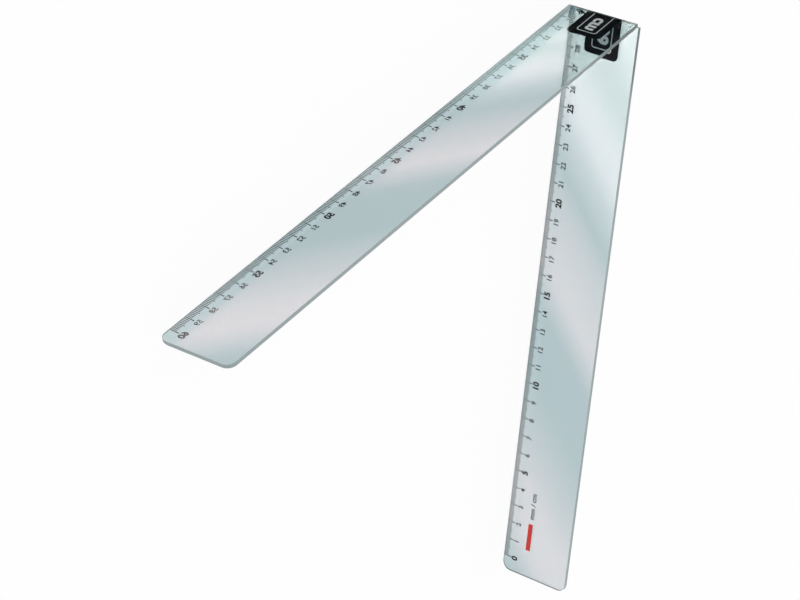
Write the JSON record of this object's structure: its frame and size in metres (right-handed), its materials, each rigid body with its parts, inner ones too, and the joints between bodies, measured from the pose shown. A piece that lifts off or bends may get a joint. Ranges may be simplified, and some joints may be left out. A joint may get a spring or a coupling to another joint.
{
  "type": "folding ruler",
  "caption": "Clear plastic centimetre ruler in two equal blades that fold face to face at a flexible black hinge label, shown half open.",
  "frame": {"origin": "middle of the footprint, on the surface that the ruler stands on", "axes": "+Z from the scale edge to the plain edge, along the upright hinge line; the hinge line is at +Y and the halves open towards -Y; the half with marks 0 to 30 is at +X"},
  "size_m": [0.3638, 0.2508, 0.04],
  "materials": {
    "clear_plastic": "clear, polished, faintly blue-green",
    "black_ink": "printed ink",
    "label_black": "flexible film, satin"
  },
  "bodies": {
    "lower_half": {"lower_blade": "clear_plastic", "lower_graduations": "black_ink", "hinge_label": "label_black"},
    "upper_half": {"upper_blade": "clear_plastic", "upper_graduations": "black_ink"}
  },
  "joints": [
    {"name": "fold", "type": "hinge", "parent": "lower_half", "child": "upper_half", "pos_m": [0, 0.12418, 0.02], "axis": [0, 0, 1], "range_deg": [-108.5, 71.5], "deforming": ["hinge_label"]}
  ]
}
